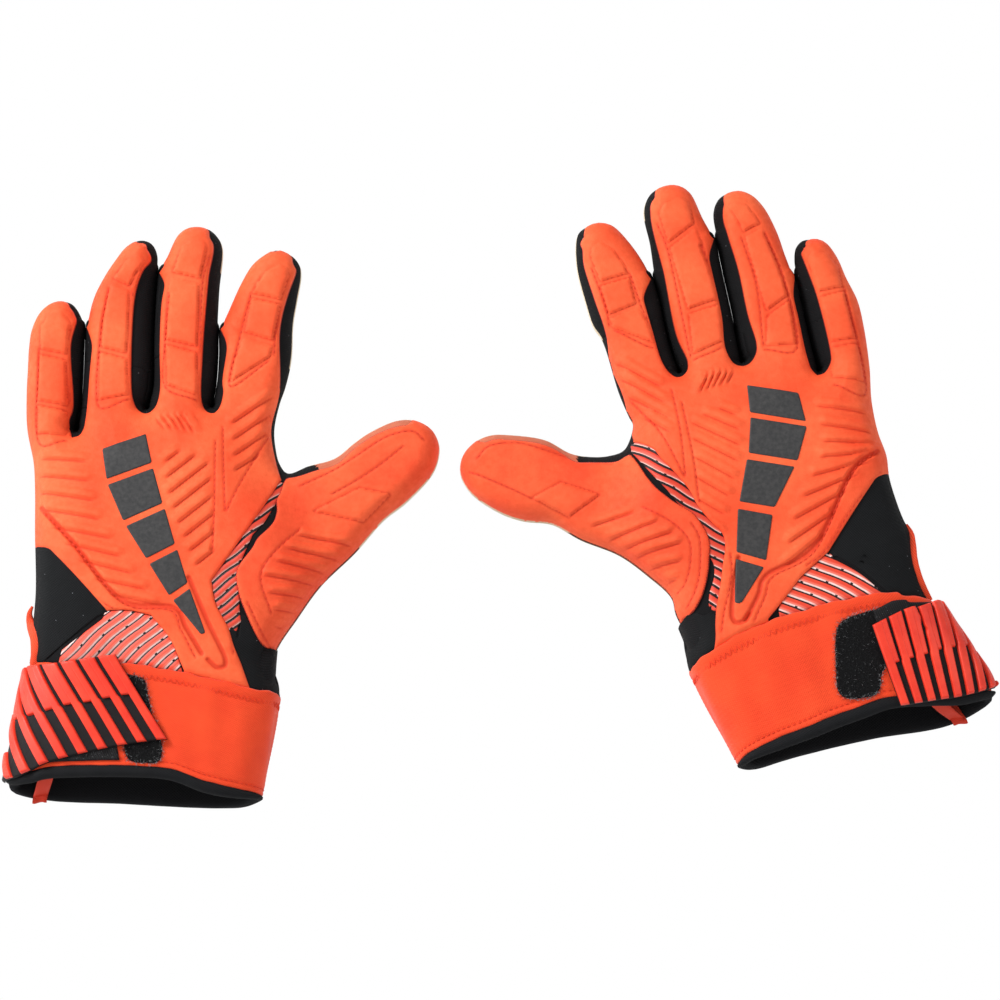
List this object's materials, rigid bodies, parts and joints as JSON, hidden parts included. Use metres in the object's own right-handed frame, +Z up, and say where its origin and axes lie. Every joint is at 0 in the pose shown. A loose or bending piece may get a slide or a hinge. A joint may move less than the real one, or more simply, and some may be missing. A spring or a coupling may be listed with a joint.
{
  "type": "goalkeeper gloves",
  "caption": "Pair of padded football goalkeeper gloves, embossed foam backs, latex palms, elastic wrist bands with moulded closure straps, lying palm down with every finger able to curl.",
  "frame": {"origin": "middle of the pair on the surface it rests on, midway between the gloves", "axes": "+X from the left glove to the right glove, +Y towards the fingertips, +Z up from the palms through the backs"},
  "size_m": [0.4636, 0.2972, 0.0416],
  "materials": {
    "orange_foam": "matt embossed foam",
    "finger_stall": "black woven gusset with cream latex palm",
    "grey_film": "smooth film",
    "striped_print": "printed stripes on soft rubber",
    "black_textile": "perforated textile",
    "cream_latex": "soft foam latex",
    "orange_elastic": "ribbed elastic with zigzag stitching",
    "black_lining": "knitted lining",
    "black_loop": "fuzzy loop pile",
    "black_elastic": "woven elastic",
    "red_rubber": "moulded ribs, satin"
  },
  "bodies": {
    "left_hand": {"left_back_panel": "orange_foam", "left_back_motif": "grey_film", "left_grip_print": "striped_print", "left_side_gussets": "black_textile", "left_palm_panel": "cream_latex", "left_wrist_band": "orange_elastic", "left_cuff_lining": "black_lining", "left_loop_patch": "black_loop"},
    "left_strap": {"left_strap_elastic": "black_elastic", "left_strap_tab": "red_rubber"},
    "left_little_base": {"left_little_base_back": "orange_foam", "left_little_base_stall": "finger_stall"},
    "left_little_tip": {"left_little_tip_back": "orange_foam", "left_little_tip_stall": "finger_stall"},
    "left_ring_base": {"left_ring_base_back": "orange_foam", "left_ring_base_stall": "finger_stall"},
    "left_ring_tip": {"left_ring_tip_back": "orange_foam", "left_ring_tip_stall": "finger_stall"},
    "left_middle_base": {"left_middle_base_back": "orange_foam", "left_middle_base_stall": "finger_stall"},
    "left_middle_tip": {"left_middle_tip_back": "orange_foam", "left_middle_tip_stall": "finger_stall"},
    "left_index_base": {"left_index_base_back": "orange_foam", "left_index_base_stall": "finger_stall"},
    "left_index_tip": {"left_index_tip_back": "orange_foam", "left_index_tip_stall": "finger_stall"},
    "left_thumb_base": {"left_thumb_base_back": "orange_foam", "left_thumb_base_stall": "finger_stall"},
    "left_thumb_tip": {"left_thumb_tip_back": "orange_foam", "left_thumb_tip_stall": "finger_stall"},
    "right_hand": {"right_back_panel": "orange_foam", "right_back_motif": "grey_film", "right_grip_print": "striped_print", "right_side_gussets": "black_textile", "right_palm_panel": "cream_latex", "right_wrist_band": "orange_elastic", "right_cuff_lining": "black_lining", "right_loop_patch": "black_loop"},
    "right_strap": {"right_strap_elastic": "black_elastic", "right_strap_tab": "red_rubber"},
    "right_little_base": {"right_little_base_back": "orange_foam", "right_little_base_stall": "finger_stall"},
    "right_little_tip": {"right_little_tip_back": "orange_foam", "right_little_tip_stall": "finger_stall"},
    "right_ring_base": {"right_ring_base_back": "orange_foam", "right_ring_base_stall": "finger_stall"},
    "right_ring_tip": {"right_ring_tip_back": "orange_foam", "right_ring_tip_stall": "finger_stall"},
    "right_middle_base": {"right_middle_base_back": "orange_foam", "right_middle_base_stall": "finger_stall"},
    "right_middle_tip": {"right_middle_tip_back": "orange_foam", "right_middle_tip_stall": "finger_stall"},
    "right_index_base": {"right_index_base_back": "orange_foam", "right_index_base_stall": "finger_stall"},
    "right_index_tip": {"right_index_tip_back": "orange_foam", "right_index_tip_stall": "finger_stall"},
    "right_thumb_base": {"right_thumb_base_back": "orange_foam", "right_thumb_base_stall": "finger_stall"},
    "right_thumb_tip": {"right_thumb_tip_back": "orange_foam", "right_thumb_tip_stall": "finger_stall"}
  },
  "joints": [
    {"name": "right_glove_lift", "type": "slide", "parent": "left_hand", "child": "right_hand", "axis": [0, 0, 1], "range_m": [0, 0.1]},
    {"name": "left_little_root", "type": "hinge", "parent": "left_hand", "child": "left_little_base", "pos_m": [-0.21329, 0.03745, 0.01], "axis": [-0.9976, 0.0698, 0], "range_deg": [-10, 75]},
    {"name": "left_little_middle", "type": "hinge", "parent": "left_little_base", "child": "left_little_tip", "pos_m": [-0.21126, 0.06648, 0.01], "axis": [-0.9976, 0.0698, 0], "range_deg": [0, 80]},
    {"name": "left_ring_root", "type": "hinge", "parent": "left_hand", "child": "left_ring_base", "pos_m": [-0.18309, 0.04565, 0.01], "axis": [-0.9893, 0.1461, 0], "range_deg": [-10, 75]},
    {"name": "left_ring_middle", "type": "hinge", "parent": "left_ring_base", "child": "left_ring_tip", "pos_m": [-0.17986, 0.06751, 0.01], "axis": [-0.9893, 0.1461, 0], "range_deg": [0, 80]},
    {"name": "left_middle_root", "type": "hinge", "parent": "left_hand", "child": "left_middle_base", "pos_m": [-0.15189, 0.04955, 0.01], "axis": [-0.9947, 0.1028, 0], "range_deg": [-10, 75]},
    {"name": "left_middle_middle", "type": "hinge", "parent": "left_middle_base", "child": "left_middle_tip", "pos_m": [-0.14973, 0.07044, 0.01], "axis": [-0.9947, 0.1028, 0], "range_deg": [0, 80]},
    {"name": "left_index_root", "type": "hinge", "parent": "left_hand", "child": "left_index_base", "pos_m": [-0.12099, 0.04855, 0.01], "axis": [-0.9767, 0.2147, 0], "range_deg": [-10, 75]},
    {"name": "left_index_middle", "type": "hinge", "parent": "left_index_base", "child": "left_index_tip", "pos_m": [-0.11547, 0.07365, 0.01], "axis": [-0.9767, 0.2147, 0], "range_deg": [0, 80]},
    {"name": "left_thumb_root", "type": "hinge", "parent": "left_hand", "child": "left_thumb_base", "pos_m": [-0.08409, -0.01065, 0.01], "axis": [-0.5255, 0.8508, 0], "range_deg": [-10, 45]},
    {"name": "left_thumb_middle", "type": "hinge", "parent": "left_thumb_base", "child": "left_thumb_tip", "pos_m": [-0.05882, 0.00496, 0.01], "axis": [-0.5255, 0.8508, 0], "range_deg": [0, 60]},
    {"name": "left_strap_open", "type": "hinge", "parent": "left_hand", "child": "left_strap", "pos_m": [-0.22531, -0.12378, 0.005], "axis": [-0.2079, -0.9781, 0], "range_deg": [0, 90]},
    {"name": "right_little_root", "type": "hinge", "parent": "right_hand", "child": "right_little_base", "pos_m": [0.16391, 0.06505, 0.01], "axis": [-0.9659, -0.2588, 0], "range_deg": [-10, 75]},
    {"name": "right_little_middle", "type": "hinge", "parent": "right_little_base", "child": "right_little_tip", "pos_m": [0.15524, 0.09741, 0.01], "axis": [-0.9659, -0.2588, 0], "range_deg": [0, 80]},
    {"name": "right_ring_root", "type": "hinge", "parent": "right_hand", "child": "right_ring_base", "pos_m": [0.13311, 0.06815, 0.01], "axis": [-0.9724, -0.2334, 0], "range_deg": [-10, 75]},
    {"name": "right_ring_middle", "type": "hinge", "parent": "right_ring_base", "child": "right_ring_tip", "pos_m": [0.1284, 0.08779, 0.01], "axis": [-0.9724, -0.2334, 0], "range_deg": [0, 80]},
    {"name": "right_middle_root", "type": "hinge", "parent": "right_hand", "child": "right_middle_base", "pos_m": [0.09911, 0.06845, 0.01], "axis": [-0.981, -0.1942, 0], "range_deg": [-10, 75]},
    {"name": "right_middle_middle", "type": "hinge", "parent": "right_middle_base", "child": "right_middle_tip", "pos_m": [0.09498, 0.08934, 0.01], "axis": [-0.981, -0.1942, 0], "range_deg": [0, 80]},
    {"name": "right_index_root", "type": "hinge", "parent": "right_hand", "child": "right_index_base", "pos_m": [0.06601, 0.06305, 0.01], "axis": [-0.9573, -0.289, 0], "range_deg": [-10, 75]},
    {"name": "right_index_middle", "type": "hinge", "parent": "right_index_base", "child": "right_index_tip", "pos_m": [0.05853, 0.08784, 0.01], "axis": [-0.9573, -0.289, 0], "range_deg": [0, 80]},
    {"name": "right_thumb_root", "type": "hinge", "parent": "right_hand", "child": "right_thumb_base", "pos_m": [0.04201, -0.00105, 0.01], "axis": [-0.1942, -0.981, 0], "range_deg": [-10, 45]},
    {"name": "right_thumb_middle", "type": "hinge", "parent": "right_thumb_base", "child": "right_thumb_tip", "pos_m": [0.01484, 0.00433, 0.01], "axis": [-0.1942, -0.981, 0], "range_deg": [0, 60]},
    {"name": "right_strap_open", "type": "hinge", "parent": "right_hand", "child": "right_strap", "pos_m": [0.21998, -0.08141, 0.005], "axis": [-0.4848, 0.8746, 0], "range_deg": [0, 90]}
  ]
}
